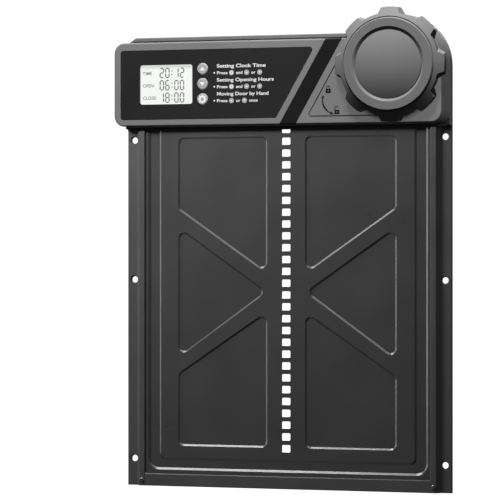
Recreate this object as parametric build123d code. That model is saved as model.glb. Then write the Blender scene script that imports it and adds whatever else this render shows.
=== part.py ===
"""Automatic coop door: a sliding perforated door panel in a wall frame, under a control and drive header.

All sizes are millimetres. X runs across the door, the front faces -Y and +Z is up. Sizes are worked out with
Y = 0 on the wall plane, X = 0 on the centre line and Z = 0 at the bottom edge of the frame. On export every
part is lowered so that the origin is the centre of the four corner wall screws, on the wall plane.
"""
from build123d import *
import os
from math import acos, atan2, cos, degrees, pi, radians, sin, sqrt, tan

# ---- frame ----
FRAME_HALF = 145.0            # half width of the frame
FLANGE_THICK = 2.6            # screw flange of the side rails
FLANGE_WIDTH = 9.3
RIM_WIDTH = 5.0               # flat top of the raised rim
SLOPE_WIDTH = 3.1             # slope between flange and rim
RIM_FRONT = -7.5
RAIL_TOP = 304.2              # the side rails end under the header
BOTTOM_RAIL_HEIGHT = 10.6
WALL_HOLE_X = 139.0
WALL_HOLE_HEIGHTS = (23.1, 176.9, 296.5)
WALL_HOLE_RADIUS = 2.7
WALL_HOLE_MOUTH = 3.6         # radius of the countersink at the front of the flange
WALL_HOLE_SINK = 1.5          # depth of the countersink
ORIGIN_HEIGHT = (WALL_HOLE_HEIGHTS[0] + WALL_HOLE_HEIGHTS[2]) / 2

# ---- guide liner round the doorway ----
LINER_HALF = 130.3
LINER_BACK = -1.05
LINER_FRONT = -5.65
LINER_BOTTOM = 3.1
GROOVE_HALF = 128.4           # groove that the door edge runs in
GROOVE_BACK = -2.2
GROOVE_FRONT = -4.4
GROOVE_BOTTOM = 4.3
DOORWAY_HALF = 123.4
DOORWAY_BOTTOM = 15.85
DOORWAY_CORNER = 8.5
BEVEL_WIDTH = 1.8             # bevel round the doorway, measured across the front
BEVEL_DEPTH = 1.1

# ---- door panel ----
DOOR_HALF = 127.2
DOOR_BOTTOM = 4.6
DOOR_TOP = 376.0
SHEET_THICK = 1.4
SHEET_FRONT = -4.0            # front of the flat edge band
EMBOSS = 1.0                  # height of the raised field
FIELD_HALF = 114.9
FIELD_BOTTOM = 23.3
FIELD_TOP = 368.0
POCKET_INNER = 16.8
POCKET_OUTER = 97.8
POCKET_TOP = 298.6
POCKET_BOTTOM = 34.6
UPPER_POCKET_EDGE = (181.6, 236.9)   # heights of its slanted lower edge, at the inner and the outer side
LOWER_POCKET_EDGE = (150.8, 96.7)    # heights of its slanted upper edge, at the inner and the outer side
SIDE_POCKET_POINT = 166.8            # height where the diagonal ribs cross
SIDE_POCKET_HEIGHTS = (109.4, 222.3)
RACK_PITCH = 10.0
RACK_FIRST = 34.18
RACK_COUNT = 34
RACK_HOLE = (7.8, 6.1)

# ---- header ----
HEADER_BOTTOM = 304.3
HEADER_TOP = 384.2
HEADER_SPLIT = -8.0           # the front cover meets the rear housing here
COVER_BOTTOM = 307.2
COVER_TOP = 378.3
COVER_SHADOW_GAP = (378.6, 381.2)    # groove in the rear housing along the cover's upper edge
COVER_FRONT = -34.0
COVER_WALL = 2.2
COVER_CORNER = 9.0
COVER_INSIDE = COVER_FRONT + COVER_WALL
SLOT_HALF = 128.0             # slot that the door rises through
SLOT_BACK = -2.1
SLOT_FRONT = -5.6
KNOB_X = 102.1
KNOB_Z = 355.6
ARCH_RADIUS = FRAME_HALF - KNOB_X
TONGUE_INNER = 131.0          # tongues of the side rails behind the header
TONGUE_TOP = 378.0
HEADER_SCREWS = ((-137.5, 313.8), (137.5, 313.8), (-137.5, 371.0), (137.8, 368.6))

# ---- control panel ----
SLANT = 0.577                 # sideways run of the slanted edges for each millimetre of height
LABEL_LEFT = -139.0
LABEL_BOTTOM = 312.8
LABEL_TOP = 371.6
LABEL_FOOT = 1.0              # where the slanted edge meets the lower edge
LABEL_DEPTH = 0.8
STRIPE_FOOT = 3.9             # left edge of the stripe at the height of the cover's lower edge
STRIPE_WIDTH = 14.3
PAD_FOOT = 28.1
PAD_BOTTOM = 313.3
PAD_TOP = 371.0
PAD_GROOVE = 0.9
SCREEN_X = (-121.5, -73.8)
SCREEN_Z = (325.7, 359.1)
BUTTON_X = -64.4
BUTTONS = {"up": 355.1, "down": 342.4, "set": 329.5}
BUTTON_RADIUS = 4.75
BOARD_X = (-130.0, -56.0)
BOARD_Z = (316.0, 370.0)
BOARD_FRONT = -26.9
BOARD_THICK = 1.6
BOARD_SCREWS = ((-127.0, 319.0), (-127.0, 367.0), (-59.0, 319.0), (-59.0, 367.0))

# ---- drive ----
SPROCKET_TEETH = 7
SPROCKET_RADIUS = SPROCKET_TEETH * RACK_PITCH / (2 * pi)
RACK_PLANE = SHEET_FRONT - EMBOSS + SHEET_THICK / 2
SHAFT_Y = RACK_PLANE - SPROCKET_RADIUS
SHAFT_Z = RACK_FIRST + 31 * RACK_PITCH
SHAFT_RADIUS = 2.0
GEAR_MODULE = 0.6
GEAR_TEETH = 20
PINION_TEETH = 14
GEAR_DISTANCE = GEAR_MODULE * (GEAR_TEETH + PINION_TEETH) / 2
MOTOR_Y = -20.0
MOTOR_Z = SHAFT_Z + sqrt(GEAR_DISTANCE ** 2 - (MOTOR_Y - SHAFT_Y) ** 2)
LEFT_EAR = -12.6
RIGHT_EAR = 19.4
EAR_THICK = 1.2
GEAR_X = (12.5, 17.5)

# ---- battery compartment and its turning cover ----
WELL_RADIUS = 33.0
CELL_RADIUS = 7.15
CELL_LENGTH = 49.5
CELL_LAYERS = (-18.4, -32.8)
CELL_ROW = 7.4
SEAT_RADIUS = 35.6
SEAT_FRONT = -39.0
KNOB_BACK = -34.8
KNOB_FRONT = -44.5
KNOB_INSIDE = -41.4
KNOB_BORE = 37.9
KNOB_ROOT = 42.5
LOBE_RADIUS = 47.5
LOBE_COUNT = 8
LOBE_CREST = 8.3              # half width of a lobe at its crest, at the knob's back
LOBE_FLARE = 0.56             # widening of a lobe for each millimetre towards the axis
LOBE_DRAFT = 0.4              # narrowing of each side for each millimetre towards the front
RING_OUTER = 37.7
RING_INNER = 31.0
DOME_RADIUS = 28.3
DOME_EDGE = -43.5
DOME_APEX = -47.3


def prism(outline, back, front):
    """Solid of an outline drawn in X and Z, from depth back to the more negative depth front."""
    return extrude(Plane.XZ.offset(-back) * outline, back - front)


def bar(outline, start, end):
    """Solid of an outline drawn in Y and Z, from x = start to x = end."""
    return extrude(Plane.YZ.offset(start) * outline, end - start)


def block(x_span, y_span, z_span):
    """Box between the given limits on each axis."""
    spans = (x_span, y_span, z_span)
    middles = [(low + high) / 2 for low, high in spans]
    return Pos(*middles) * Box(*[abs(high - low) for low, high in spans])


def pin_y(radius, x, z, back, front):
    """Round bar along Y."""
    return prism(Pos(x, z) * Circle(radius), back, front)


def pin_x(radius, y, z, start, end):
    """Round bar along X."""
    return bar(Pos(y, z) * Circle(radius), start, end)


def ring_y(outer, inner, x, z, back, front):
    """Round tube along Y."""
    return prism(Pos(x, z) * (Circle(outer) - Circle(inner)), back, front)


def rounded(points, radius):
    """Polygon with every corner rounded."""
    outline = make_face(Polyline(*points, close=True))
    return fillet(outline.vertices(), radius)


def box_outline(x_span, z_span, radius=0.0):
    """Rectangle between limits, with rounded corners when a radius is given."""
    width = x_span[1] - x_span[0]
    height = z_span[1] - z_span[0]
    shape = RectangleRounded(width, height, radius) if radius else Rectangle(width, height)
    return Pos((x_span[0] + x_span[1]) / 2, (z_span[0] + z_span[1]) / 2) * shape


def turned(points, x, z):
    """Solid turned about an axis along Y through x, z, from (radius, y) points."""
    outline = make_face(Plane.XY * Polyline(*points, close=True))
    return Pos(x, 0, z) * revolve(outline, Axis.Y)


def mirrored(shape):
    return mirror(shape, about=Plane.YZ)


# ---- frame parts ----

def corner_screw_place():
    return FRAME_HALF - 14.7, 4.8


def countersink(x, z):
    """Tapered mouth of a wall screw hole, with room for a screw driver in front of it."""
    start = WALL_HOLE_SINK - FLANGE_THICK
    profile = [
        (0, start),
        (WALL_HOLE_RADIUS, start),
        (WALL_HOLE_MOUTH, -FLANGE_THICK),
        (WALL_HOLE_MOUTH, -9),
        (0, -9),
    ]
    return turned(profile, x, z)


def side_rail():
    """Right side rail: screw flange, slope and rim, a pocket for the liner and a tongue for the header."""
    slope_start = FRAME_HALF - FLANGE_WIDTH
    rim_start = slope_start - SLOPE_WIDTH
    rim_end = rim_start - RIM_WIDTH
    pocket = LINER_HALF + 0.1
    points = [
        (FRAME_HALF, 0),
        (FRAME_HALF, -FLANGE_THICK),
        (slope_start, -FLANGE_THICK),
        (rim_start, RIM_FRONT),
        (rim_end, RIM_FRONT),
        (rim_end, LINER_FRONT - 0.1),
        (pocket, LINER_FRONT - 0.1),
        (pocket, LINER_BACK + 0.05),
        (rim_end, LINER_BACK + 0.05),
        (rim_end, 0),
    ]
    profile = make_face(Polyline(*points, close=True))
    front_corners = [v for v in profile.vertices() if v.Y < RIM_FRONT + 0.1]
    profile = fillet(front_corners, 0.7)
    flange_corners = [v for v in profile.vertices() if abs(v.Y + FLANGE_THICK) < 0.1]
    profile = fillet(flange_corners, 0.8)
    rail = extrude(profile, RAIL_TOP)
    rail += block((TONGUE_INNER, FRAME_HALF), (0, -FLANGE_THICK), (RAIL_TOP, TONGUE_TOP))
    rail -= block((rim_end - 1, 134.1), (1, LINER_BACK + 0.05), (0.9, 9.8))
    screw_x, screw_z = corner_screw_place()
    rail -= pin_y(1.35, screw_x, screw_z, 1, RIM_FRONT - 1)
    for height in WALL_HOLE_HEIGHTS:
        rail -= pin_y(WALL_HOLE_RADIUS, WALL_HOLE_X, height, 1, -9)
        rail -= countersink(WALL_HOLE_X, height)
    return rail


def corner_outside_arch():
    """Space above and to the right of the arch round the knob."""
    corner = block((KNOB_X, FRAME_HALF + 1), (1, -9), (KNOB_Z, HEADER_TOP + 20))
    return corner - pin_y(ARCH_RADIUS - 0.05, KNOB_X, KNOB_Z, 2, -10)


def header_screw_recesses(part):
    """Counterbores for the header screws in the tongues of the rails."""
    for x, z in HEADER_SCREWS:
        part -= pin_y(1.6, x, z, 1, -9)
        part -= pin_y(3.1, x, z, 1, -1.9)
    return part


def bottom_rail():
    """Cross rail between the side rails, open upwards for the liner, with a screw tab at each end."""
    half = FRAME_HALF - FLANGE_WIDTH - SLOPE_WIDTH - RIM_WIDTH - 0.1
    rail = block((-half, half), (0, RIM_FRONT), (0, BOTTOM_RAIL_HEIGHT))
    rail = fillet([e for e in rail.edges() if e.center().Y < RIM_FRONT + 0.1 and abs(e.center().X) < 1], 0.7)
    rail -= block((-half - 1, half + 1), (LINER_BACK + 0.05, LINER_FRONT - 0.1), (LINER_BOTTOM - 0.1, 20))
    screw_x, screw_z = corner_screw_place()
    for side in (-1, 1):
        rail += block((side * (half - 4), side * 134), (0, LINER_BACK + 0.1), (1.0, 9.6))
        rail -= pin_y(1.35, side * screw_x, screw_z, 1, -9)
    return rail


def doorway_outline():
    """Outline of the doorway, running past the top of the liner."""
    return box_outline((-DOORWAY_HALF, DOORWAY_HALF), (DOORWAY_BOTTOM, RAIL_TOP + 40), DOORWAY_CORNER)


def guide_liner():
    """U-shaped liner with the groove for the door's edges and a bevel round the doorway."""
    liner = block((-LINER_HALF, LINER_HALF), (LINER_BACK, LINER_FRONT), (LINER_BOTTOM, RAIL_TOP))
    liner -= block((-GROOVE_HALF, GROOVE_HALF), (GROOVE_BACK, GROOVE_FRONT), (GROOVE_BOTTOM, RAIL_TOP + 1))
    liner -= prism(doorway_outline(), 1, -9)
    front = liner.faces().sort_by(Axis.Y)[0]
    above_foot = [e for e in front.edges() if e.center().Z > LINER_BOTTOM + 1]
    rim = [e for e in above_foot if abs(e.center().X) < DOORWAY_HALF + 0.1]
    liner = chamfer(rim, BEVEL_WIDTH, BEVEL_DEPTH, reference=front)
    screw_x, screw_z = corner_screw_place()
    for side in (-1, 1):
        liner -= pin_y(1.35, side * screw_x, screw_z, 1, -9)
    return liner


def corner_screws():
    """Two pan-head screws that clamp the bottom rail and the liner into the side rails."""
    screw_x, screw_z = corner_screw_place()
    screws = []
    for side in (-1, 1):
        screw = pin_y(1.2, side * screw_x, screw_z, -0.1, RIM_FRONT - 0.2)
        head = pin_y(2.0, side * screw_x, screw_z, RIM_FRONT - 0.02, RIM_FRONT - 1.0)
        head = fillet(head.faces().sort_by(Axis.Y)[0].edges(), 0.5)
        slot = Rot(0, 35, 0) * Box(3.0, 0.9, 0.5)
        head -= Pos(side * screw_x, RIM_FRONT - 1.0, screw_z) * slot
        screws.append(screw + head)
    return Compound(children=screws)


# ---- door panel ----

def pocket_outlines():
    """The three pockets on the right half of the door: above, beside and below the crossing ribs."""
    upper_inner, upper_outer = UPPER_POCKET_EDGE
    lower_inner, lower_outer = LOWER_POCKET_EDGE
    side_low, side_high = SIDE_POCKET_HEIGHTS
    upper = [
        (POCKET_INNER, POCKET_TOP),
        (POCKET_OUTER, POCKET_TOP),
        (POCKET_OUTER, upper_outer),
        (POCKET_INNER, upper_inner),
    ]
    side = [(POCKET_OUTER, side_high), (POCKET_OUTER, side_low), (POCKET_INNER, SIDE_POCKET_POINT)]
    lower = [
        (POCKET_INNER, POCKET_BOTTOM),
        (POCKET_INNER, lower_inner),
        (POCKET_OUTER, lower_outer),
        (POCKET_OUTER, POCKET_BOTTOM),
    ]
    return [upper, side, lower]


def stepped(outline, inset, back, front):
    """Field with sloping sides: the outline at the back, drawn in by inset at the front."""
    inner = offset(outline, -inset)
    return loft([Plane.XZ.offset(-back) * outline, Plane.XZ.offset(-front) * inner])


def pocket_cutter(outline, inset, front, floor):
    """Tool for a pocket with sloping sides, wide at the front."""
    inner = offset(outline, -inset)
    return loft([Plane.XZ.offset(-front) * outline, Plane.XZ.offset(-floor) * inner])


def embossed_block():
    """Everything behind the door's front surface."""
    field_front = SHEET_FRONT - EMBOSS
    body = block((-DOOR_HALF, DOOR_HALF), (0, SHEET_FRONT), (DOOR_BOTTOM, DOOR_TOP))
    field = box_outline((-FIELD_HALF, FIELD_HALF), (FIELD_BOTTOM, FIELD_TOP), 5.0)
    body += stepped(field, 1.6, SHEET_FRONT, field_front)
    for points in pocket_outlines():
        cutter = pocket_cutter(rounded(points, 5.5), 1.5, field_front, SHEET_FRONT)
        body -= cutter
        body -= mirrored(cutter)
    return body


def door_panel():
    """Pressed sheet of even thickness with a column of rack holes for the drive sprocket."""
    body = embossed_block()
    panel = body - Pos(0, SHEET_THICK, 0) * body
    hole = RectangleRounded(RACK_HOLE[0], RACK_HOLE[1], 1.0)
    rack = [Pos(0, RACK_FIRST + index * RACK_PITCH) * hole for index in range(RACK_COUNT)]
    panel -= prism(Sketch(children=rack), 1, -9)
    return panel


# ---- header ----

def arched(outline):
    """Header outline with its top right corner replaced by the arch round the knob."""
    corner = box_outline((KNOB_X, FRAME_HALF + 1), (KNOB_Z, HEADER_TOP + 20))
    return outline - corner + Pos(KNOB_X, KNOB_Z) * Circle(ARCH_RADIUS)


def rear_housing():
    """Back half of the header, with the slot that the door rises through."""
    chamfer_x = FRAME_HALF - 7.5
    points = [
        (-FRAME_HALF + 9.4, HEADER_TOP),
        (-FRAME_HALF, HEADER_TOP - 5.9),
        (-FRAME_HALF, HEADER_BOTTOM + 1.8),
        (-chamfer_x, HEADER_BOTTOM),
        (chamfer_x, HEADER_BOTTOM),
        (FRAME_HALF, HEADER_BOTTOM + 1.8),
        (FRAME_HALF, HEADER_TOP),
    ]
    housing = prism(arched(make_face(Polyline(*points, close=True))), 0, HEADER_SPLIT)
    rim = housing.faces().sort_by(Axis.Y)[0].outer_wire().edges()
    housing = chamfer(rim, 0.7)
    housing -= block((-SLOT_HALF, SLOT_HALF), (SLOT_BACK, SLOT_FRONT), (HEADER_BOTTOM - 5, HEADER_TOP + 30))
    for side in (-1, 1):
        outer = side * (FRAME_HALF + 1)
        inner = side * (TONGUE_INNER - 0.1)
        housing -= block((inner, outer), (1, -FLANGE_THICK - 0.05), (290, TONGUE_TOP + 0.1))
    housing -= block((-5.5, 5.5), (SLOT_FRONT + 1, HEADER_SPLIT - 1), (SHAFT_Z - 12.5, SHAFT_Z + 12.5))
    housing -= block((-FRAME_HALF + 7, 64), (HEADER_SPLIT + 1.1, HEADER_SPLIT - 1), COVER_SHADOW_GAP)
    for x, z in HEADER_SCREWS:
        housing -= pin_y(1.6, x, z, 1, HEADER_SPLIT - 1)
    for x, z in bracket_screw_places():
        housing -= pin_y(1.25, x, z, SLOT_FRONT + 1, HEADER_SPLIT - 1)
    return housing


def cover_outline():
    outline = box_outline((-FRAME_HALF, FRAME_HALF), (COVER_BOTTOM, COVER_TOP), COVER_CORNER)
    return arched(outline)


def cover_block():
    """Outer shape of the front cover, with its rounded front edge."""
    body = prism(cover_outline(), HEADER_SPLIT, COVER_FRONT)
    rim = body.faces().sort_by(Axis.Y)[0].outer_wire().edges()
    return fillet(rim, 1.3)


def label_outline(gap=0.0):
    """Black panel label: square on the left, slanted on the right."""
    head = LABEL_FOOT + (LABEL_TOP - LABEL_BOTTOM) * SLANT
    left = [(LABEL_LEFT, LABEL_BOTTOM), (LABEL_LEFT, LABEL_TOP)]
    points = left + [(head, LABEL_TOP), (LABEL_FOOT, LABEL_BOTTOM)]
    outline = rounded(points, 2.5)
    return offset(outline, gap) if gap else outline


def stripe_outline(gap=0.0):
    """Slanted stripe from the lower to the upper edge of the cover."""
    low = COVER_BOTTOM - 3
    high = COVER_TOP + 3
    foot = STRIPE_FOOT + (low - COVER_BOTTOM) * SLANT
    head = STRIPE_FOOT + (high - COVER_BOTTOM) * SLANT
    points = [
        (foot - gap, low),
        (head - gap, high),
        (head + STRIPE_WIDTH + gap, high),
        (foot + STRIPE_WIDTH + gap, low),
    ]
    return make_face(Polyline(*points, close=True))


def pad_outline():
    """Field with the lock marks, bounded by a groove and running under the knob."""
    head = PAD_FOOT + (PAD_TOP - PAD_BOTTOM) * SLANT
    points = [(PAD_FOOT, PAD_BOTTOM), (head, PAD_TOP), (KNOB_X, PAD_TOP), (KNOB_X, PAD_BOTTOM)]
    return rounded(points, 2.0)


def front_cover():
    """Front shell of the header with its openings, recesses and screw bosses."""
    body = cover_block()
    cover = body - prism(offset(cover_outline(), -COVER_WALL), HEADER_SPLIT + 1, COVER_INSIDE)
    for x, z in HEADER_SCREWS:
        cover += pin_y(2.7, x, z, HEADER_SPLIT, COVER_INSIDE - 0.1) & body
        cover -= pin_y(1.3, x, z, HEADER_SPLIT + 1, COVER_INSIDE + 3)
    for x, z in BOARD_SCREWS:
        cover += pin_y(2.8, x, z, BOARD_FRONT, COVER_INSIDE - 0.1)
        cover -= pin_y(1.25, x, z, BOARD_FRONT + 1, COVER_INSIDE + 1)
    cover -= prism(label_outline(0.15), COVER_FRONT + LABEL_DEPTH, COVER_FRONT - 1)
    cover -= prism(stripe_outline(0.1), COVER_FRONT + LABEL_DEPTH, COVER_FRONT - 1)
    groove = pad_outline() - offset(pad_outline(), -PAD_GROOVE)
    cover -= prism(groove, COVER_FRONT + 0.9, COVER_FRONT - 1)
    cover -= prism(box_outline(SCREEN_X, SCREEN_Z, 2.0), COVER_INSIDE + 1, COVER_FRONT - 1)
    for z in BUTTONS.values():
        cover -= pin_y(BUTTON_RADIUS + 0.25, BUTTON_X, z, COVER_INSIDE + 1, COVER_FRONT - 1)
    cover -= pin_y(SEAT_RADIUS + 0.15, KNOB_X, KNOB_Z, COVER_INSIDE + 1, COVER_FRONT - 1)
    return cover


def control_label():
    """Panel label with the openings for the screen and the buttons."""
    label = prism(label_outline(), COVER_FRONT + LABEL_DEPTH, COVER_FRONT + 0.05)
    label -= prism(box_outline(SCREEN_X, SCREEN_Z, 2.0), 0, COVER_FRONT - 1)
    for z in BUTTONS.values():
        label -= pin_y(BUTTON_RADIUS + 0.25, BUTTON_X, z, 0, COVER_FRONT - 1)
    return label


def accent_stripe():
    """Slanted stripe laid into the cover, following its rounded edge."""
    return prism(stripe_outline(), COVER_FRONT + LABEL_DEPTH, COVER_FRONT - 1) & cover_block()


def header_screws():
    """Four long screws from the back through rail tongue and rear housing into the front cover."""
    screws = []
    for x, z in HEADER_SCREWS:
        screw = pin_y(1.25, x, z, -0.6, -24)
        screw += pin_y(2.8, x, z, -0.2, -1.8)
        socket = pin_y(1.2, x, z, 0, -1.2)
        screws.append(screw - socket)
    return Compound(children=screws)


# ---- control panel parts ----

def shrunk(span, gap):
    return span[0] + gap, span[1] - gap


def screen_window():
    outline = box_outline(shrunk(SCREEN_X, 0.15), shrunk(SCREEN_Z, 0.15), 1.9)
    return prism(outline, -33.0, COVER_FRONT + 0.1)


def screen_module():
    """Display glass in the window with its wider backing behind the cover."""
    glass = prism(box_outline(shrunk(SCREEN_X, 0.2), shrunk(SCREEN_Z, 0.2), 1.8), COVER_INSIDE + 0.2, -32.5)
    backing = block((-125.6, -72.6), (BOARD_FRONT, COVER_INSIDE + 0.2), (322.3, 363.0))
    return glass + backing


def control_board():
    board = block(BOARD_X, (BOARD_FRONT, BOARD_FRONT + BOARD_THICK), BOARD_Z)
    for x, z in BOARD_SCREWS:
        board -= pin_y(1.3, x, z, -20, -30)
    return board


def board_components():
    """Chip, capacitor, relay and two connectors on the back of the board."""
    back = BOARD_FRONT + BOARD_THICK
    chip = block((-104.0, -92.0), (back, back + 1.4), (337.0, 349.0))
    relay = block((-84.0, -69.0), (back, back + 9.0), (340.0, 351.0))
    capacitor = pin_y(4.0, -112.0, 328.0, back + 9.5, back)
    sockets = [block((-82.0 + step, -73.0 + step), (back, back + 6.0), (321.0, 327.0)) for step in (0, 12)]
    return Compound(children=[chip, relay, capacitor] + sockets)


def board_screws():
    """Four small screws that hold the board on the bosses of the cover."""
    back = BOARD_FRONT + BOARD_THICK
    screws = []
    for x, z in BOARD_SCREWS:
        shank = pin_y(1.2, x, z, back + 0.2, back - 5.5)
        head = pin_y(2.3, x, z, back + 1.4, back)
        screws.append(shank + head)
    return Compound(children=screws)


def tact_switch(z):
    """Switch on the board behind one button."""
    body = block((BUTTON_X - 3, BUTTON_X + 3), (BOARD_FRONT, BOARD_FRONT - 1.5), (z - 3, z + 3))
    return body + pin_y(1.7, BUTTON_X, z, BOARD_FRONT - 1, BOARD_FRONT - 2.0)


def button(z):
    """Round button with a retaining flange behind the cover and a stem for its switch."""
    cap = pin_y(BUTTON_RADIUS, BUTTON_X, z, -31.0, COVER_FRONT - 0.9)
    cap = fillet(cap.faces().sort_by(Axis.Y)[0].edges(), 0.6)
    flange = pin_y(BUTTON_RADIUS + 1.2, BUTTON_X, z, -30.6, -31.5)
    stem = pin_y(1.8, BUTTON_X, z, -29.6, -30.7)
    return cap + flange + stem


# ---- drive ----

def gear_outline(teeth, first_angle):
    """Involute spur gear with a tooth centred on first_angle, thinned a little for backlash."""
    pitch_radius = GEAR_MODULE * teeth / 2
    base = pitch_radius * cos(radians(20))
    tip = pitch_radius + 0.9 * GEAR_MODULE
    root = pitch_radius - 1.25 * GEAR_MODULE
    pressure = radians(20)
    half_tooth = 0.86 * pi / (2 * teeth)
    points = []
    for index in range(teeth):
        centre = first_angle + 2 * pi * index / teeth
        flank = []
        for step in range(4):
            radius = max(base, root) + (tip - max(base, root)) * step / 3
            roll = acos(min(1.0, base / radius))
            half = half_tooth + (tan(pressure) - pressure) - (tan(roll) - roll)
            flank.append((radius, half))
        low = [(root, flank[0][1] * 1.1)] if root < base else []
        rising = [(radius, centre - half) for radius, half in low + flank]
        falling = [(radius, centre + half) for radius, half in reversed(low + flank)]
        points += rising + falling
    return make_face(Polyline(*[(r * cos(a), r * sin(a)) for r, a in points], close=True))


def drive_sprocket():
    """Seven-tooth sprocket that engages the rack holes of the door."""
    tooth = make_face(Polyline((9.0, -3.0), (SPROCKET_RADIUS, -2.1), (13.0, -1.2),
                               (13.0, 1.2), (SPROCKET_RADIUS, 2.1), (9.0, 3.0), close=True))
    outline = Circle(9.6)
    for index in range(SPROCKET_TEETH):
        outline += Rot(0, 0, 360 / SPROCKET_TEETH * index) * tooth
    wheel = bar(Pos(SHAFT_Y, SHAFT_Z) * outline, -3.0, 3.0)
    wheel += pin_x(5.0, SHAFT_Y, SHAFT_Z, -6.0, 6.0)
    return wheel - pin_x(SHAFT_RADIUS + 0.02, SHAFT_Y, SHAFT_Z, -10, 10)


def sprocket_shaft():
    return pin_x(SHAFT_RADIUS, SHAFT_Y, SHAFT_Z, LEFT_EAR - 1.5, RIGHT_EAR + EAR_THICK - 0.1)


def shaft_gear():
    toward_pinion = atan2(MOTOR_Z - SHAFT_Z, MOTOR_Y - SHAFT_Y)
    gear = bar(Pos(SHAFT_Y, SHAFT_Z) * gear_outline(GEAR_TEETH, toward_pinion), *GEAR_X)
    return gear - pin_x(SHAFT_RADIUS + 0.02, SHAFT_Y, SHAFT_Z, 0, 30)


def drive_pinion():
    """Pinion with its shaft, which turns in the gearhead."""
    toward_gear = atan2(SHAFT_Z - MOTOR_Z, SHAFT_Y - MOTOR_Y)
    first_tooth = toward_gear + pi / PINION_TEETH
    pinion = bar(Pos(MOTOR_Y, MOTOR_Z) * gear_outline(PINION_TEETH, first_tooth), *GEAR_X)
    return pinion + pin_x(1.5, MOTOR_Y, MOTOR_Z, GEAR_X[0] - 0.6, 26.0)


def bush(start):
    """Flanged bearing bush of the sprocket shaft in one ear of the bracket."""
    sleeve = pin_x(3.0, SHAFT_Y, SHAFT_Z, start - 0.5, start + EAR_THICK - 0.05)
    flange = pin_x(4.2, SHAFT_Y, SHAFT_Z, start - 1.1, start - 0.05)
    return sleeve + flange - pin_x(SHAFT_RADIUS + 0.04, SHAFT_Y, SHAFT_Z, -40, 40)


def bracket_screw_places():
    return [(x, SHAFT_Z + step) for x in (-8.7, 16.5) for step in (-17.0, 20.0)]


def drive_bracket():
    """Bent plate on the rear housing with an ear at each end of the sprocket shaft."""
    back = HEADER_SPLIT - 0.05
    plate = block((LEFT_EAR, RIGHT_EAR + EAR_THICK), (back, back - EAR_THICK), (SHAFT_Z - 20, SHAFT_Z + 23))
    plate -= block((-6.5, 18.4), (0, -20), (SHAFT_Z - 13.4, SHAFT_Z + 13.4))
    for x, z in bracket_screw_places():
        plate -= pin_y(1.3, x, z, 0, -20)
    low = SHAFT_Z - 9
    high = SHAFT_Z + 22
    ear = rounded([(back, low), (back, high), (-30.5, high), (-30.5, low)], 1.0)
    for start in (LEFT_EAR, RIGHT_EAR):
        plate += bar(ear, start, start + EAR_THICK)
    plate -= pin_x(3.02, SHAFT_Y, SHAFT_Z, -40, 40)
    plate -= pin_x(3.5, MOTOR_Y, MOTOR_Z, 0, 40)
    for y in motor_screw_depths():
        plate -= pin_x(1.1, y, MOTOR_Z, 0, 40)
    return plate


def bracket_screws():
    """Four screws that fix the bracket to the rear housing."""
    front = HEADER_SPLIT - 0.05 - EAR_THICK
    screws = [pin_y(1.2, x, z, SLOT_FRONT - 0.1, front) + pin_y(2.3, x, z, front, front - 1.6)
              for x, z in bracket_screw_places()]
    return Compound(children=screws)


def motor_screw_depths():
    return MOTOR_Y - 6.5, MOTOR_Y + 6.5


def gearhead():
    """Sealed reduction gearhead that the motor is built onto."""
    start = RIGHT_EAR + EAR_THICK
    case = pin_x(10.0, MOTOR_Y, MOTOR_Z, start, 34.0)
    case += pin_x(3.4, MOTOR_Y, MOTOR_Z, start - 0.8, start)
    case -= pin_x(1.56, MOTOR_Y, MOTOR_Z, 0, 26.2)
    for y in motor_screw_depths():
        case -= pin_x(1.05, y, MOTOR_Z, 0, start + 5)
    return case


def gear_motor():
    """Motor can with its end cap and two solder tabs."""
    can = pin_x(9.5, MOTOR_Y, MOTOR_Z, 34.0, 57.0)
    cap = pin_x(7.5, MOTOR_Y, MOTOR_Z, 57.0, 59.5)
    motor_body = can + cap
    for z in (MOTOR_Z - 5, MOTOR_Z + 5):
        motor_body += block((59.5, 62.0), (MOTOR_Y - 1.2, MOTOR_Y + 1.2), (z - 0.3, z + 0.3))
    return motor_body


def motor_screws():
    screws = []
    for y in motor_screw_depths():
        shank = pin_x(1.0, y, MOTOR_Z, RIGHT_EAR - 0.2, RIGHT_EAR + 5.5)
        head = pin_x(1.8, y, MOTOR_Z, RIGHT_EAR - 1.2, RIGHT_EAR)
        screws.append(shank + head)
    return Compound(children=screws)


# ---- battery compartment ----

def battery_well():
    """Cup behind the round opening of the cover."""
    cup = pin_y(WELL_RADIUS + 2, KNOB_X, KNOB_Z, HEADER_SPLIT - 0.2, -30.1)
    return cup - pin_y(WELL_RADIUS, KNOB_X, KNOB_Z, HEADER_SPLIT - 1.6, -31)


def battery_seat_ring():
    """Collar through the cover that carries the seal and the knob."""
    collar = ring_y(SEAT_RADIUS, WELL_RADIUS + 0.2, KNOB_X, KNOB_Z, -30.2, SEAT_FRONT)
    collar += ring_y(SEAT_RADIUS + 2.6, WELL_RADIUS + 0.2, KNOB_X, KNOB_Z, -30.2, COVER_INSIDE + 0.05)
    screw_x, screw_z = HEADER_SCREWS[3]
    return collar - pin_y(2.9, screw_x, screw_z, -20, COVER_INSIDE)


def battery_tray():
    """Open box that holds the cells in two rows and two layers."""
    tray = block((-28.2, 28.2), (-9.8, -34.0), (-16.4, 16.4))
    tray -= block((-26.6, 26.6), (-11.0, -40.0), (-15.0, 15.0))
    return Pos(KNOB_X, 0, KNOB_Z) * tray


def cell(layer, row):
    """One AA cell with its raised pole. Neighbouring cells point opposite ways."""
    y = CELL_LAYERS[layer]
    z = KNOB_Z + (CELL_ROW if row else -CELL_ROW)
    way = 1 if (layer + row) % 2 else -1
    half = CELL_LENGTH / 2
    can = pin_x(CELL_RADIUS, y, z, KNOB_X - half, KNOB_X + half)
    can = fillet(can.edges(), 0.5)
    pole = sorted((KNOB_X + way * half, KNOB_X + way * (half + 0.95)))
    return can + pin_x(2.7, y, z, *pole)


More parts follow.
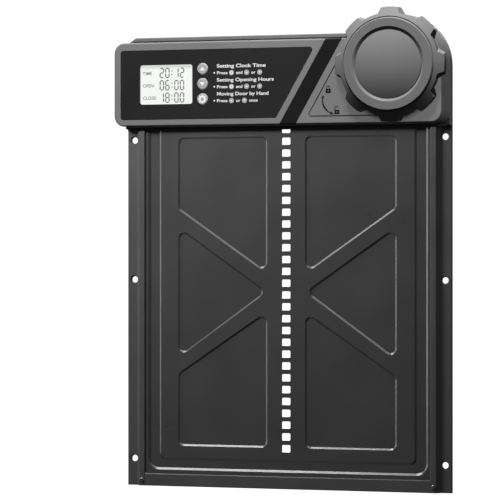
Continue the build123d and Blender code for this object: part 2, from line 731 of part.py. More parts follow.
def battery_contacts(side):
    """Two contact strips at one end of the tray, each touching two cells through stamped dimples."""
    strips = []
    for row in (-CELL_ROW, CELL_ROW):
        start, end = sorted((side * 26.1, side * 26.5))
        strip = block((start, end), (-13.0, -37.0), (row - 4.0, row + 4.0))
        for y in CELL_LAYERS:
            dimple = sorted((side * 25.85, side * 26.2))
            strip += pin_x(2.0, y, row, *dimple)
        strips.append(Pos(KNOB_X, 0, KNOB_Z) * strip)
    return Compound(children=strips)


# ---- knob ----

def lobe_section(depth):
    """Outline of the top lobe, on the knob's own axis, at a depth in front of its back."""
    inner = KNOB_ROOT - 3
    outer = LOBE_RADIUS + 0.4
    crest = LOBE_CREST - LOBE_DRAFT * depth
    root = crest + LOBE_FLARE * (outer - inner)
    return make_face(Polyline((-root, inner), (-crest, outer), (crest, outer), (root, inner), close=True))


def grip_lobe():
    """One tapered grip lobe, wider at its back and towards the axis."""
    height = KNOB_BACK - KNOB_FRONT
    back = Plane.XZ.offset(-KNOB_BACK) * lobe_section(0)
    front = Plane.XZ.offset(-KNOB_FRONT) * lobe_section(height)
    lobe = loft([back, front])
    crest_edges = [e for e in lobe.edges() if e.center().Z > LOBE_RADIUS and abs(e.center().X) > 1]
    return fillet(crest_edges, 1.2)


def battery_knob():
    """Lobed turning cover: flat front ring, a groove, flared lobes, and a recess for the centre cap."""
    profile = [
        (0, KNOB_BACK),
        (LOBE_RADIUS, KNOB_BACK),
        (LOBE_RADIUS, -38.8),
        (LOBE_RADIUS - 0.5, -39.6),
        (RING_OUTER + 1.8, -43.3),
        (RING_OUTER + 1.5, -42.7),
        (RING_OUTER + 1.0, -42.7),
        (RING_OUTER + 0.8, -43.9),
        (RING_OUTER, KNOB_FRONT),
        (RING_INNER, KNOB_FRONT),
        (RING_INNER - 2.1, -43.3),
        (RING_INNER - 2.1, -42.7),
        (0, -42.7),
    ]
    body = pin_y(KNOB_ROOT, 0, 0, KNOB_BACK, KNOB_FRONT)
    lobe = grip_lobe()
    for index in range(LOBE_COUNT):
        body += Rot(0, 360 / LOBE_COUNT * index, 0) * lobe
    body = body & turned(profile, 0, 0)
    body -= pin_y(KNOB_BORE, 0, 0, -30, KNOB_INSIDE)
    return Pos(KNOB_X, 0, KNOB_Z) * body


def knob_dome():
    """Domed centre cap set in the recess of the knob."""
    rise = DOME_EDGE - DOME_APEX
    radius = (DOME_RADIUS ** 2 + rise ** 2) / (2 * rise)
    ball = Pos(KNOB_X, DOME_APEX + radius, KNOB_Z) * Sphere(radius)
    return pin_y(DOME_RADIUS, KNOB_X, KNOB_Z, -42.75, -50) & ball


def knob_spigot():
    """Guide ring under the knob that centres it in the seat ring."""
    return ring_y(32.9, 31.2, KNOB_X, KNOB_Z, -35.5, KNOB_INSIDE)


def knob_seal():
    """Rubber ring between the seat ring and the knob."""
    return Pos(KNOB_X, -36.4, KNOB_Z) * Rot(90, 0, 0) * Torus(36.75, 1.0)


def parts():
    """Every node of the assembly by name."""
    right_rail = header_screw_recesses(side_rail() - corner_outside_arch())
    left_rail = header_screw_recesses(mirrored(side_rail()))
    nodes = {
        "left_side_rail": left_rail,
        "right_side_rail": right_rail,
        "bottom_rail": bottom_rail(),
        "guide_liner": guide_liner(),
        "corner_screws": corner_screws(),
        "door_panel": door_panel(),
        "rear_housing": rear_housing(),
        "front_cover": front_cover(),
        "header_screws": header_screws(),
        "control_label": control_label(),
        "accent_stripe": accent_stripe(),
        "screen_window": screen_window(),
        "screen_module": screen_module(),
        "control_board": control_board(),
        "board_components": board_components(),
        "board_screws": board_screws(),
        "drive_bracket": drive_bracket(),
        "bracket_screws": bracket_screws(),
        "shaft_bush_left": bush(LEFT_EAR),
        "shaft_bush_right": bush(RIGHT_EAR),
        "sprocket_shaft": sprocket_shaft(),
        "drive_sprocket": drive_sprocket(),
        "shaft_gear": shaft_gear(),
        "drive_pinion": drive_pinion(),
        "gearhead": gearhead(),
        "gear_motor": gear_motor(),
        "motor_screws": motor_screws(),
        "battery_well": battery_well(),
        "battery_seat_ring": battery_seat_ring(),
        "battery_tray": battery_tray(),
        "battery_contacts_left": battery_contacts(-1),
        "battery_contacts_right": battery_contacts(1),
        "battery_knob": battery_knob(),
        "knob_dome": knob_dome(),
        "knob_spigot": knob_spigot(),
        "knob_seal": knob_seal(),
    }
    for name, height in BUTTONS.items():
        nodes[f"button_{name}"] = button(height)
        nodes[f"tact_switch_{name}"] = tact_switch(height)
    for layer in range(2):
        for row in range(2):
            nodes[f"aa_cell_{2 * layer + row + 1}"] = cell(layer, row)
    return nodes


def main():
    os.makedirs("parts", exist_ok=True)
    for name, shape in parts().items():
        export_step(Pos(0, 0, -ORIGIN_HEIGHT) * shape, f"parts/{name}.step")
    print("shaft", SHAFT_Y, SHAFT_Z - ORIGIN_HEIGHT, "motor", MOTOR_Y, MOTOR_Z - ORIGIN_HEIGHT)
    print("knob", KNOB_X, KNOB_Z - ORIGIN_HEIGHT, "radians for each metre", 1000 / SPROCKET_RADIUS)


main()
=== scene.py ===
"""Looks of the automatic coop door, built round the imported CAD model.

Lengths are in metres. The front of the door faces -Y, and +Z is up.
"""
import math

import bpy
from mathutils import Matrix, Vector


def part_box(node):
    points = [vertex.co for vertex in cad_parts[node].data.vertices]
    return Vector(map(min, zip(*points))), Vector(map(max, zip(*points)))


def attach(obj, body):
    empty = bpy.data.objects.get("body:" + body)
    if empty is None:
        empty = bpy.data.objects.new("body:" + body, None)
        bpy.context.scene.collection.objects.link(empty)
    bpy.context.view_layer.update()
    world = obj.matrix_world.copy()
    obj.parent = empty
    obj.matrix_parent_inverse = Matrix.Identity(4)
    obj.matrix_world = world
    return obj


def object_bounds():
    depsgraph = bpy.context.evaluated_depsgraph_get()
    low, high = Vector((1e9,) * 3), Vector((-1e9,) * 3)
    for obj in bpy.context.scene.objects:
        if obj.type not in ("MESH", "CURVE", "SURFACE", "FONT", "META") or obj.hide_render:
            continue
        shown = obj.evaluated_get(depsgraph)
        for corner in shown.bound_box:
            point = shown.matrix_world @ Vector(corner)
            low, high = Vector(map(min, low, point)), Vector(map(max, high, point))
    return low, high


MM = 0.001
PRINT_THICKNESS = 0.04 * MM

# Camera: level, to the right of the centre line, with a long lens.
CAMERA_PLACE = (0.8722, -2.5211, 0.0424)
CAMERA_TURN = math.radians(19.774)
CAMERA_LENS = 226.75

# Surroundings: strength of the light from below and from above.
WORLD_BELOW = 0.02
WORLD_ABOVE = 0.1

# The header's key light is split: a share of it lets the knob and the buttons cast shadows too.
HEADER_KEY = 49.0
HEADER_KEY_SHADED = 0.35
KEY_PLACE = (0.08, -0.66, 1.53)
KEY_TARGET = (0.08, 0.0, 0.19)
KEY_SIZE = (0.5, 0.3)
OPEN_SHARE = 1 - HEADER_KEY_SHADED
KNOB_CENTRE = (0.1, 0.0, 0.19)
PANEL_CENTRE = (0.0, 0.0, 0.0)

# Lights: name, place, target, size, watts, group that it lights, and group that alone casts its shadows.
LIGHTS = (
    ("knob_key", (0.06, -0.54, 1.59), KNOB_CENTRE, KEY_SIZE, 60.0, "knob", "knob"),
    ("header_key", KEY_PLACE, KEY_TARGET, KEY_SIZE, HEADER_KEY * OPEN_SHARE, "body", "flat_body"),
    ("header_key_shaded", KEY_PLACE, KEY_TARGET, KEY_SIZE, HEADER_KEY * HEADER_KEY_SHADED, "body", None),
    ("header_side", (1.3, -0.35, 0.7), KNOB_CENTRE, (0.4, 0.4), 3.7, "body", None),
    ("door_key", (-0.3, -0.37, 0.46), PANEL_CENTRE, (0.3, 0.3), 4.75, "doorway", "doorway_and_housing"),
    ("door_side", (-1.2, -0.25, 0.1), PANEL_CENTRE, (0.2, 0.6), 3.1, "doorway", "panel_and_housing"),
    ("door_edge", (-0.82, -0.42, 1.17), PANEL_CENTRE, (0.9, 0.6), 11.5, "doorway", "doorway_and_housing"),
    ("door_edge_right", (0.32, -0.76, 1.17), PANEL_CENTRE, (0.6, 0.5), 4.6, "doorway", "doorway_and_housing"),
    ("door_low", (-0.45, -0.5, -1.2), PANEL_CENTRE, (0.6, 0.6), 0.8, "doorway", "doorway_and_housing"),
    ("door_right", (1.4, -0.45, 0.3), (0.1, 0.0, 0.0), (0.5, 0.5), 1.2, "doorway", "doorway_and_housing"),
    ("behind", (-0.5, 2.4, 0.5), (0.0, 0.0, 0.05), (1.5, 1.5), 60.0, "doorway_and_housing", None),
)
DOORWAY_NODES = (
    "door_panel",
    "left_side_rail",
    "right_side_rail",
    "bottom_rail",
    "guide_liner",
    "corner_screws",
)

# Times shown on the screen, with the word beside each.
SCREEN_ROWS = (("TIME", "20:12"), ("OPEN:", "06:00"), ("CLOSE:", "18:00"))

# Screen layout, as shares of the screen window's height or width.
FIRST_ROW = 0.318
ROW_STEP = 0.317
TIME_LEFT = 0.377
DIGIT_HEIGHT = 0.235
DIGIT_WIDTH = 0.064
DIGIT_STEP = 0.107
COLON_STEP = 0.62 * DIGIT_STEP
LEGEND_LEFT = 0.04
LEGEND_LETTER = 0.045
SEGMENT_THICK = 0.92 * MM

# Segments of a digit: a top, b and c right, d bottom, e and f left, g middle.
DIGIT_SEGMENTS = {
    "0": "abcdef",
    "1": "bc",
    "2": "abged",
    "6": "afgedc",
    "8": "abcdefg",
}

# Printed instructions: a heading, then words and button marks in a row.
INSTRUCTIONS = (
    ("Setting Clock Time", ("Press", "cog", "and", "up", "or", "down")),
    ("Setting Opening Hours", ("Press", "cog", "and", "up", "or", "down")),
    ("Moving Door by Hand", ("Press", "up", "or", "down", "once")),
)
TEXT_INDENT = 6.7 * MM           # from the buttons to the text
FIRST_HEADING = 0.7265           # share of the label's height
HEADING_STEP = 11.75 * MM
HEADING_HEIGHT = 3.0 * MM
HEADING_BOLD = 0.09 * MM
HEADING_LETTER = 2.42 * MM       # mean width of a letter
LINE_DROP = 4.1 * MM
WORD_HEIGHT = 2.6 * MM
WORD_BOLD = 0.07 * MM
WORD_LETTER = 1.88 * MM
WORD_GAP = 1.5 * MM
DISC_RADIUS = 2.25 * MM
DISC_LEAD = 2.3 * MM
DISC_STEP = 4.1 * MM

# Lock marks, placed in X and Z from the knob's axis.
PADLOCK_WIDTH = 4.3 * MM
CLOSED_LOCK = (-54.95 * MM, -21.2 * MM)
OPEN_LOCK = (-47.3 * MM, -38.7 * MM)
TURN_CENTRE = (-48.4 * MM, -28.9 * MM)
TURN_RADIUS = 11.4 * MM
TURN_WIDTH = 1.35 * MM
TURN_START = math.radians(170)
TURN_END = math.radians(246)

# Slow variation of shade and gloss over a surface: patches for each metre.
BROAD_NOISE = 22.0


# ---- materials ----

def new_material(name):
    material = bpy.data.materials.new(name)
    material.use_nodes = True
    tree = material.node_tree
    return material, tree, tree.nodes["Principled BSDF"]


def object_noise(tree, scale, detail=3.0):
    """Noise in object coordinates, so its grain has a real size."""
    place = tree.nodes.new("ShaderNodeTexCoord")
    noise = tree.nodes.new("ShaderNodeTexNoise")
    noise.inputs["Scale"].default_value = scale
    noise.inputs["Detail"].default_value = detail
    tree.links.new(place.outputs["Object"], noise.inputs["Vector"])
    return noise


def spread(tree, source, low, high):
    """Remap a 0 to 1 value to the range low to high."""
    node = tree.nodes.new("ShaderNodeMapRange")
    node.inputs["From Min"].default_value = 0.3
    node.inputs["From Max"].default_value = 0.7
    node.inputs["To Min"].default_value = low
    node.inputs["To Max"].default_value = high
    tree.links.new(source, node.inputs["Value"])
    return node.outputs["Result"]


def tint(tree, source, dark, light):
    """Colour that wanders between two near shades."""
    ramp = tree.nodes.new("ShaderNodeValToRGB")
    ramp.color_ramp.elements[0].position = 0.3
    ramp.color_ramp.elements[0].color = (*dark, 1)
    ramp.color_ramp.elements[1].position = 0.7
    ramp.color_ramp.elements[1].color = (*light, 1)
    tree.links.new(source, ramp.inputs["Fac"])
    return ramp.outputs["Color"]


def bump(tree, shader, height, depth):
    node = tree.nodes.new("ShaderNodeBump")
    node.inputs["Strength"].default_value = 1.0
    node.inputs["Distance"].default_value = depth
    tree.links.new(height, node.inputs["Height"])
    tree.links.new(node.outputs["Normal"], shader.inputs["Normal"])


def grey(level, warmth=0.0):
    """Neutral colour with a slight shift to warm or cool."""
    return (level * (1 + warmth), level, level * (1 - warmth))


def textured(name, level, roughness, grain, depth, metallic=0.0, specular=0.5, warmth=0.0, wander=0.08):
    """Surface with a fine grain in its height, and slow variation in shade and gloss.

    Grain is in bumps for each metre, and depth is its height in metres.
    """
    material, tree, shader = new_material(name)
    fine = object_noise(tree, grain, 2.0)
    broad = object_noise(tree, BROAD_NOISE, 4.0)
    dark = grey(level * (1 - wander), warmth)
    light = grey(level * (1 + wander), warmth)
    shade = tint(tree, broad.outputs["Fac"], dark, light)
    tree.links.new(shade, shader.inputs["Base Color"])
    gloss = spread(tree, broad.outputs["Fac"], roughness - 0.03, roughness + 0.03)
    tree.links.new(gloss, shader.inputs["Roughness"])
    shader.inputs["Metallic"].default_value = metallic
    shader.inputs["Specular IOR Level"].default_value = specular
    bump(tree, shader, fine.outputs["Fac"], depth)
    return material


def coloured(name, colour, roughness, grain=900.0, depth=0.00002, metallic=0.0):
    """Coloured part with the same kind of grain."""
    material, tree, shader = new_material(name)
    fine = object_noise(tree, grain, 2.0)
    dark = [c * 0.9 for c in colour]
    light = [min(1.0, c * 1.1) for c in colour]
    tree.links.new(tint(tree, fine.outputs["Fac"], dark, light), shader.inputs["Base Color"])
    shader.inputs["Roughness"].default_value = roughness
    shader.inputs["Metallic"].default_value = metallic
    bump(tree, shader, fine.outputs["Fac"], depth)
    return material


def clear_window():
    """Thin clear screen cover."""
    material, tree, shader = new_material("screen_clear")
    smear = object_noise(tree, 60.0, 2.0)
    tree.links.new(spread(tree, smear.outputs["Fac"], 0.08, 0.14), shader.inputs["Roughness"])
    shader.inputs["Base Color"].default_value = (0.95, 0.97, 0.95, 1)
    shader.inputs["Alpha"].default_value = 0.03
    return material


def painted_glow_screen():
    """Pale display with faint unevenness, made bright by a painted glow: its emission stands in for the light
    it reflects.
    """
    material, tree, shader = new_material("screen_painted_glow")
    cloud = object_noise(tree, 90.0, 2.0)
    shade = tint(tree, cloud.outputs["Fac"], (0.2, 0.2, 0.2), (0.24, 0.24, 0.24))
    tree.links.new(shade, shader.inputs["Base Color"])
    shader.inputs["Roughness"].default_value = 0.5
    # Painted glow: the display is no lamp, and this emission stands in for the light it reflects.
    shader.inputs["Emission Color"].default_value = (0.95, 0.97, 0.95, 1)
    shader.inputs["Emission Strength"].default_value = 0.74
    return material


def make_materials():
    """Every look. Numbers after a name are shade, roughness, grain and grain depth."""
    return {
        "frame": textured("frame_powder_coat", 0.05, 0.42, 1400.0, 0.00005, specular=0.45),
        "door": textured("door_powder_coat", 0.043, 0.3, 1400.0, 0.00004, specular=0.5),
        "header": textured("header_plastic", 0.205, 0.5, 2200.0, 0.00002, specular=0.12, wander=0.04),
        "housing": textured("housing_plastic", 0.15, 0.5, 2200.0, 0.00002, specular=0.12, wander=0.04),
        "knob": textured("knob_plastic", 0.17, 0.5, 2200.0, 0.00002, specular=0.1, wander=0.04),
        "liner": textured("liner_plastic", 0.042, 0.31, 1600.0, 0.00002, specular=0.5),
        "label": textured("label_film", 0.02, 0.55, 3000.0, 0.00001, specular=0.15),
        "stripe": textured("stripe_film", 0.012, 0.5, 3000.0, 0.00001, specular=0.1),
        "inner": textured("inner_plastic", 0.03, 0.5, 1600.0, 0.00002),
        "rubber": textured("seal_rubber", 0.02, 0.75, 1200.0, 0.00003),
        "steel": textured("screw_steel", 0.28, 0.34, 1600.0, 0.00001, metallic=1.0),
        "sheet_steel": textured("bracket_sheet", 0.5, 0.32, 700.0, 0.00001, metallic=1.0),
        "button": textured("button_plastic", 0.42, 0.35, 2500.0, 0.00001, specular=0.5, wander=0.03),
        "gear": textured("gear_plastic", 0.7, 0.4, 1500.0, 0.00001, warmth=0.03),
        "white": textured("white_print", 0.9, 0.5, 3000.0, 0.000005, wander=0.02),
        "grey_print": textured("grey_print", 0.42, 0.5, 3000.0, 0.000005, wander=0.02),
        "mark": textured("black_print", 0.006, 0.45, 3000.0, 0.000005, specular=0.3, wander=0.02),
        "segment": textured("screen_segment", 0.07, 0.5, 3000.0, 0.000005, specular=0.1, wander=0.02),
        "legend": textured("screen_legend", 0.22, 0.5, 3000.0, 0.000005, specular=0.1, wander=0.02),
        "window": clear_window(),
        "screen": painted_glow_screen(),
        "board": coloured("board_mask", (0.02, 0.17, 0.07), 0.35),
        "chip": coloured("chip_epoxy", (0.015, 0.015, 0.016), 0.4),
        "brass": coloured("bush_brass", (0.72, 0.5, 0.2), 0.3, metallic=1.0),
        "cell": coloured("cell_sleeve", (0.05, 0.12, 0.3), 0.3),
    }


NODE_LOOKS = {
    "left_side_rail": "frame",
    "right_side_rail": "frame",
    "bottom_rail": "frame",
    "guide_liner": "liner",
    "corner_screws": "steel",
    "door_panel": "door",
    "rear_housing": "housing",
    "front_cover": "header",
    "header_screws": "steel",
    "control_label": "label",
    "accent_stripe": "stripe",
    "screen_window": "window",
    "screen_module": "screen",
    "control_board": "board",
    "board_components": "chip",
    "board_screws": "steel",
    "drive_bracket": "sheet_steel",
    "bracket_screws": "steel",
    "shaft_bush_left": "brass",
    "shaft_bush_right": "brass",
    "sprocket_shaft": "sheet_steel",
    "drive_sprocket": "gear",
    "shaft_gear": "gear",
    "drive_pinion": "gear",
    "gearhead": "inner",
    "gear_motor": "sheet_steel",
    "motor_screws": "steel",
    "battery_well": "inner",
    "battery_seat_ring": "inner",
    "battery_tray": "inner",
    "battery_contacts_left": "sheet_steel",
    "battery_contacts_right": "sheet_steel",
    "battery_knob": "knob",
    "knob_dome": "knob",
    "knob_spigot": "inner",
    "knob_seal": "rubber",
    "button_up": "button",
    "button_down": "button",
    "button_set": "button",
    "tact_switch_up": "chip",
    "tact_switch_down": "chip",
    "tact_switch_set": "chip",
    "aa_cell_1": "cell",
    "aa_cell_2": "cell",
    "aa_cell_3": "cell",
    "aa_cell_4": "cell",
}


def dress_cad_nodes(frame, looks):
    for node, look in NODE_LOOKS.items():
        obj = frame["nodes"][node]
        obj.data.materials.clear()
        obj.data.materials.append(looks[look])


# ---- flat printed shapes, drawn in X and Z and raised a little towards -Y ----

def front_of(node):
    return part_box(node)[0].y


def flat_curve(name, loops, depth):
    """Filled outline. Every loop is a list of (x, z) points, and a loop inside another is a hole."""
    curve = bpy.data.curves.new(name, "CURVE")
    curve.dimensions = "2D"
    curve.fill_mode = "BOTH"
    curve.extrude = depth / 2
    for loop in loops:
        spline = curve.splines.new("POLY")
        spline.points.add(len(loop) - 1)
        spline.use_cyclic_u = True
        for point, (x, z) in zip(spline.points, loop):
            point.co = (x, z, 0, 1)
    return bpy.data.objects.new(name, curve)


def text_curve(name, text, height, depth, bold=0.0):
    """Plain lettering with capitals of the given height, its left end at the origin."""
    curve = bpy.data.curves.new(name, "FONT")
    curve.body = text
    curve.size = height / 0.73
    curve.offset = bold
    curve.extrude = depth / 2
    return bpy.data.objects.new(name, curve)


def as_mesh(obj, place, width=None):
    """Mesh of a curve object, stood upright with its front at place, and drawn to a given width."""
    bpy.context.scene.collection.objects.link(obj)
    bpy.context.view_layer.update()
    evaluated = obj.evaluated_get(bpy.context.evaluated_depsgraph_get())
    mesh = bpy.data.meshes.new_from_object(evaluated)
    data = obj.data
    bpy.data.objects.remove(obj)
    bpy.data.curves.remove(data)
    if width:
        xs = [v.co.x for v in mesh.vertices]
        stretch = width / (max(xs) - min(xs))
        mesh.transform(Matrix.Diagonal((stretch, 1, 1, 1)))
    mesh.transform(Matrix.Translation(place) @ Matrix.Rotation(math.radians(90), 4, "X"))
    return mesh


def joined(name, meshes, material, body):
    """One piece made of several meshes."""
    whole = bpy.data.meshes.new(name)
    vertices = []
    faces = []
    for mesh in meshes:
        start = len(vertices)
        vertices += [tuple(v.co) for v in mesh.vertices]
        faces += [[start + i for i in p.vertices] for p in mesh.polygons]
        bpy.data.meshes.remove(mesh)
    whole.from_pydata(vertices, [], faces)
    whole.materials.append(material)
    piece = bpy.data.objects.new(name, whole)
    bpy.context.scene.collection.objects.link(piece)
    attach(piece, body)
    return piece


def circle(x, z, radius, count=32):
    angles = [2 * math.pi * i / count for i in range(count)]
    return [(x + radius * math.cos(a), z + radius * math.sin(a)) for a in angles]


def rectangle(x, z, width, height):
    return [
        (x - width / 2, z - height / 2),
        (x + width / 2, z - height / 2),
        (x + width / 2, z + height / 2),
        (x - width / 2, z + height / 2),
    ]


def triangle(x, z, width, height, way):
    """Upright triangle pointing up for way 1 and down for way -1."""
    return [
        (x - width / 2, z - way * height / 2),
        (x + width / 2, z - way * height / 2),
        (x, z + way * height / 2),
    ]


def cog(x, z, outer, teeth=8):
    """Cog outline with square teeth."""
    points = []
    step = 2 * math.pi / teeth
    for tooth in range(teeth):
        centre = tooth * step
        for radius, turn in ((0.78, -0.34), (1.0, -0.2), (1.0, 0.2), (0.78, 0.34)):
            angle = centre + turn * step
            reach = outer * radius
            points.append((x + reach * math.cos(angle), z + reach * math.sin(angle)))
    return points


def button_mark_loops(kind, x, z, size):
    """The mark of one button, size being the radius of its button."""
    if kind == "cog":
        return [cog(x, z, size * 0.72), circle(x, z, size * 0.32)]
    way = 1 if kind == "up" else -1
    return [triangle(x, z + way * size * 0.02, size * 0.96, size * 0.62, way)]


# ---- screen ----

def segment_loop(kind, x, z, width, height, thick):
    """Outline of one digit segment, a bar with pointed ends."""
    gap = thick * 0.2
    half = height / 2
    level = {"a": height, "g": half, "d": 0.0}
    if kind in level:
        mid = z + level[kind]
        left = x + gap
        right = x + width - gap
        return [
            (left, mid),
            (left + thick / 2, mid + thick / 2),
            (right - thick / 2, mid + thick / 2),
            (right, mid),
            (right - thick / 2, mid - thick / 2),
            (left + thick / 2, mid - thick / 2),
        ]
    mid = x + (width if kind in "bc" else 0.0)
    low = z + (half if kind in "bf" else 0.0) + gap
    high = low + half - 2 * gap
    return [
        (mid, low),
        (mid + thick / 2, low + thick / 2),
        (mid + thick / 2, high - thick / 2),
        (mid, high),
        (mid - thick / 2, high - thick / 2),
        (mid - thick / 2, low + thick / 2),
    ]


def digit_row(time, left, base, width, height):
    """Outlines of one time from its left end, standing on base, on a window of the given size."""
    digit_width = DIGIT_WIDTH * width
    digit_height = DIGIT_HEIGHT * height
    loops = []
    x = left
    for sign in time:
        if sign == ":":
            for level in (0.3, 0.7):
                dot_z = base + level * digit_height
                loops.append(rectangle(x + 0.2 * digit_width, dot_z, SEGMENT_THICK, SEGMENT_THICK))
            x += COLON_STEP * width
            continue
        for kind in DIGIT_SEGMENTS[sign]:
            loops.append(segment_loop(kind, x, base, digit_width, digit_height, SEGMENT_THICK))
        x += DIGIT_STEP * width
    return loops


def make_screen(looks):
    """Three rows of a word and a time, on the front of the display module."""
    low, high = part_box("screen_window")
    width = high.x - low.x
    height = high.z - low.z
    face = front_of("screen_module")
    digit_loops = []
    words = []
    for row, (word, time) in enumerate(SCREEN_ROWS):
        base = high.z - height * (FIRST_ROW + ROW_STEP * row)
        digit_loops += digit_row(time, low.x + width * TIME_LEFT, base, width, height)
        letters = text_curve(f"legend_{row}", word, 2.9 * MM, PRINT_THICKNESS, 0.06 * MM)
        place = (low.x + LEGEND_LEFT * width, face, base + 0.3 * DIGIT_HEIGHT * height)
        words.append(as_mesh(letters, place, width * LEGEND_LETTER * len(word)))
    digits = as_mesh(flat_curve("digits", digit_loops, PRINT_THICKNESS), (0, face, 0))
    joined("screen_digits", [digits], looks["segment"], "frame")
    joined("screen_legends", words, looks["legend"], "frame")


# ---- buttons ----

def make_button_marks(looks):
    for name, kind in (("up", "up"), ("down", "down"), ("set", "cog")):
        low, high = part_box(f"button_{name}")
        centre = (low + high) / 2
        loops = button_mark_loops(kind, centre.x, centre.z, 5.0 * MM)
        mesh = as_mesh(flat_curve(f"mark_{name}", loops, PRINT_THICKNESS), (0, low.y, 0))
        joined(f"button_{name}_mark", [mesh], looks["white"], f"{name}_button")


# ---- printed instructions ----

def make_instructions(looks):
    """Three headings, each over a row of words and small round button marks."""
    low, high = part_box("control_label")
    height = high.z - low.z
    face = low.y
    text_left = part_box("button_up")[1].x + TEXT_INDENT
    white = []
    grey_discs = []
    mark_loops = []
    for row, (heading, items) in enumerate(INSTRUCTIONS):
        base = low.z + height * FIRST_HEADING - row * HEADING_STEP
        letters = text_curve(f"heading_{row}", heading, HEADING_HEIGHT, PRINT_THICKNESS, HEADING_BOLD)
        place = (text_left, face, base + 0.3 * MM)
        white.append(as_mesh(letters, place, HEADING_LETTER * len(heading)))
        line = base - LINE_DROP
        dot = circle(text_left - 2.2 * MM, line + 0.1 * MM, 0.7 * MM, 16)
        white.append(as_mesh(flat_curve("dot", [dot], PRINT_THICKNESS), (0, face, 0)))
        x = text_left
        for item in items:
            if item in ("cog", "up", "down"):
                x += DISC_LEAD
                grey_discs.append(circle(x, line, DISC_RADIUS))
                mark_loops += button_mark_loops(item, x, line, DISC_RADIUS)
                x += DISC_STEP
                continue
            width = WORD_LETTER * len(item)
            letters = text_curve(f"word_{item}", item, WORD_HEIGHT, PRINT_THICKNESS, WORD_BOLD)
            white.append(as_mesh(letters, (x, face, line - 1.2 * MM), width))
            x += width + WORD_GAP
    discs = as_mesh(flat_curve("discs", grey_discs, PRINT_THICKNESS), (0, face, 0))
    marks = as_mesh(flat_curve("marks", mark_loops, PRINT_THICKNESS), (0, face - PRINT_THICKNESS, 0))
    joined("label_words", white, looks["white"], "frame")
    joined("label_discs", [discs], looks["grey_print"], "frame")
    joined("label_disc_marks", [marks], looks["white"], "frame")


# ---- lock marks beside the knob ----

def padlock_loops(x, z, width, opened):
    """Padlock with its body centred on x, z. The keyhole is a gap in the body."""
    height = width * 0.82
    body = rectangle(x, z, width, height)
    keyhole = circle(x, z + 0.02 * width, 0.12 * width, 12)
    stem = 0.15 * width
    outer = 0.36 * width
    inner = outer - stem
    top = z + height / 2
    rise = 0.28 * width
    shift = 0.0
    arc = [math.pi * i / 10 for i in range(11)]
    right_foot = top
    if opened:
        shift = -0.1 * width
        rise = 0.42 * width
        right_foot = top + rise * 0.9
    crown = top + rise
    shackle = [(x + shift + outer, right_foot)]
    shackle += [(x + shift + outer * math.cos(a), crown + outer * math.sin(a)) for a in arc]
    shackle += [(x + shift - outer, top), (x + shift - inner, top)]
    shackle += [(x + shift + inner * math.cos(a), crown + inner * math.sin(a)) for a in reversed(arc)]
    shackle += [(x + shift + inner, right_foot)]
    return [body, keyhole, shackle]


def arc_band(centre, radius, width, start, end, count=24):
    """Band along part of a circle, thinner at its ends."""
    outer = []
    inner = []
    for i in range(count + 1):
        share = i / count
        angle = start + (end - start) * share
        half = width / 2 * (0.55 + 0.45 * math.sin(math.pi * share))
        for side, reach in ((outer, radius + half), (inner, radius - half)):
            side.append((centre[0] + reach * math.cos(angle), centre[1] + reach * math.sin(angle)))
    return outer + inner[::-1]


def arrow_head(centre, radius, angle, length, width, way):
    """Head of a curved arrow: it points along the circle, way 1 counter-clockwise."""
    base = (centre[0] + radius * math.cos(angle), centre[1] + radius * math.sin(angle))
    along = (-math.sin(angle) * way, math.cos(angle) * way)
    across = (math.cos(angle), math.sin(angle))
    return [
        (base[0] + across[0] * width / 2, base[1] + across[1] * width / 2),
        (base[0] - across[0] * width / 2, base[1] - across[1] * width / 2),
        (base[0] + along[0] * length, base[1] + along[1] * length),
    ]


def make_lock_marks(looks):
    """Closed padlock, open padlock and the turning arrow between them."""
    low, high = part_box("knob_dome")
    axis = (low + high) / 2
    face = front_of("front_cover")
    bend = (axis.x + TURN_CENTRE[0], axis.z + TURN_CENTRE[1])
    shapes = [
        [arc_band(bend, TURN_RADIUS, TURN_WIDTH, TURN_START, TURN_END)],
        [arrow_head(bend, TURN_RADIUS, TURN_END, 3.2 * MM, 3.2 * MM, 1)],
        [arrow_head(bend, TURN_RADIUS, TURN_START, 2.6 * MM, 2.8 * MM, -1)],
    ]
    for place, opened in ((CLOSED_LOCK, False), (OPEN_LOCK, True)):
        centre = (axis.x + place[0], axis.z + place[1])
        body, keyhole, bow = padlock_loops(*centre, PADLOCK_WIDTH, opened)
        shapes += [[body, keyhole], [bow]]
    pieces = []
    for i, loops in enumerate(shapes):
        pieces.append(as_mesh(flat_curve(f"lock_{i}", loops, PRINT_THICKNESS), (0, face, 0)))
    joined("lock_marks", pieces, looks["mark"], "frame")


# ---- surroundings ----

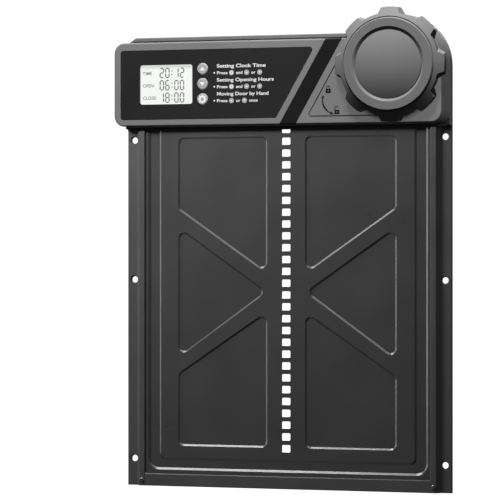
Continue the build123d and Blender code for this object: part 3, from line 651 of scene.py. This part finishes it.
def make_world():
    """White all round for the camera, and a soft light on the object that is weaker from below."""
    world = bpy.data.worlds.new("studio")
    bpy.context.scene.world = world
    world.use_nodes = True
    tree = world.node_tree
    tree.nodes.clear()
    path = tree.nodes.new("ShaderNodeLightPath")
    seen = tree.nodes.new("ShaderNodeBackground")
    seen.inputs["Color"].default_value = (1, 1, 1, 1)
    seen.inputs["Strength"].default_value = 1.1
    way = tree.nodes.new("ShaderNodeTexCoord")
    axes = tree.nodes.new("ShaderNodeSeparateXYZ")
    tree.links.new(way.outputs["Generated"], axes.inputs["Vector"])
    climb = tree.nodes.new("ShaderNodeMapRange")
    climb.inputs["From Min"].default_value = -0.3
    climb.inputs["From Max"].default_value = 0.9
    climb.inputs["To Min"].default_value = WORLD_BELOW
    climb.inputs["To Max"].default_value = WORLD_ABOVE
    tree.links.new(axes.outputs["Z"], climb.inputs["Value"])
    lighting = tree.nodes.new("ShaderNodeBackground")
    lighting.inputs["Color"].default_value = (1, 1, 1, 1)
    tree.links.new(climb.outputs["Result"], lighting.inputs["Strength"])
    mix = tree.nodes.new("ShaderNodeMixShader")
    output = tree.nodes.new("ShaderNodeOutputWorld")
    tree.links.new(path.outputs["Is Camera Ray"], mix.inputs["Fac"])
    tree.links.new(lighting.outputs["Background"], mix.inputs[1])
    tree.links.new(seen.outputs["Background"], mix.inputs[2])
    tree.links.new(mix.outputs["Shader"], output.inputs["Surface"])


def make_floor():
    """Pale floor well below the door, which hangs on a wall.

    It glows softly and doesn't light the door.
    """
    low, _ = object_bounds()
    mesh = bpy.data.meshes.new("floor")
    reach = 30.0
    height = low.z - 0.6
    corners = rectangle(0, 0, 2 * reach, 2 * reach)
    mesh.from_pydata([(x, y, height) for x, y in corners], [], [(0, 1, 2, 3)])
    material, _, shader = new_material("pale_floor")
    shader.inputs["Base Color"].default_value = (0.9, 0.9, 0.9, 1)
    shader.inputs["Roughness"].default_value = 0.8
    shader.inputs["Emission Color"].default_value = (1, 1, 1, 1)
    shader.inputs["Emission Strength"].default_value = 1.0
    mesh.materials.append(material)
    floor = bpy.data.objects.new("floor", mesh)
    floor.visible_diffuse = False
    floor.visible_glossy = False
    bpy.context.scene.collection.objects.link(floor)


def group_of(name, objects):
    """Collection for light linking. It isn't part of the scene's own collections."""
    group = bpy.data.collections.new(name)
    for obj in objects:
        group.objects.link(obj)
    return group


def add_light(name, place, target, size, power, lit, blockers=None):
    """Soft light on one group of objects, shadowed by the blockers only."""
    light = bpy.data.lights.new(name, "AREA")
    light.shape = "RECTANGLE"
    light.size = size[0]
    light.size_y = size[1]
    light.energy = power
    obj = bpy.data.objects.new(name, light)
    obj.location = place
    obj.rotation_euler = (Vector(target) - Vector(place)).to_track_quat("-Z", "Y").to_euler()
    obj.light_linking.receiver_collection = lit
    if blockers:
        obj.light_linking.blocker_collection = blockers
    bpy.context.scene.collection.objects.link(obj)


def light_groups(frame):
    """The groups of pieces that lights shine on, or that cast their shadows."""
    nodes = frame["nodes"]
    housing = nodes["rear_housing"]
    doorway = [nodes[name] for name in DOORWAY_NODES]
    pieces = [o for o in bpy.context.scene.objects if o.type == "MESH" and o.name != "floor"]
    header = [o for o in pieces if o not in doorway]
    knob = [o for o in header if "knob" in o.name]
    body = [o for o in header if o not in knob]
    return {
        "knob": group_of("knob", knob),
        "body": group_of("body", body),
        "flat_body": group_of("flat_body", [o for o in body if "button" not in o.name]),
        "doorway": group_of("doorway", doorway),
        "doorway_and_housing": group_of("doorway_and_housing", doorway + [housing]),
        "panel_and_housing": group_of("panel_and_housing", [nodes["door_panel"], housing]),
    }


def make_lights(frame):
    """Steep light on the header, light from the upper left on door and frame, and a soft one behind."""
    groups = light_groups(frame)
    for name, place, target, size, power, lit, shade in LIGHTS:
        blockers = groups[shade] if shade else None
        add_light(name, place, target, size, power, groups[lit], blockers)


def make_camera():
    data = bpy.data.cameras.new("camera")
    data.sensor_width = 36
    data.lens = CAMERA_LENS
    data.clip_start = 0.1
    data.clip_end = 100
    camera = bpy.data.objects.new("camera", data)
    camera.location = CAMERA_PLACE
    camera.rotation_euler = (math.radians(90), 0, CAMERA_TURN)
    bpy.context.scene.collection.objects.link(camera)
    bpy.context.scene.camera = camera


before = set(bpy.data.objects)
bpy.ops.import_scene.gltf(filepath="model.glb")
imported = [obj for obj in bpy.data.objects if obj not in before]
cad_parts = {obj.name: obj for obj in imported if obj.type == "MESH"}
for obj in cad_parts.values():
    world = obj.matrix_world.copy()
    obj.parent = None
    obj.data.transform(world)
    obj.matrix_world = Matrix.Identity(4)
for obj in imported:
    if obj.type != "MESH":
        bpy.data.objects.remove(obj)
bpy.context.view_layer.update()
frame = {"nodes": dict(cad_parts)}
bpy.context.scene.view_settings.view_transform = "Standard"
all_looks = make_materials()
dress_cad_nodes(frame, all_looks)
make_screen(all_looks)
make_button_marks(all_looks)
make_instructions(all_looks)
make_lock_marks(all_looks)
make_world()
make_floor()
make_lights(frame)
make_camera()
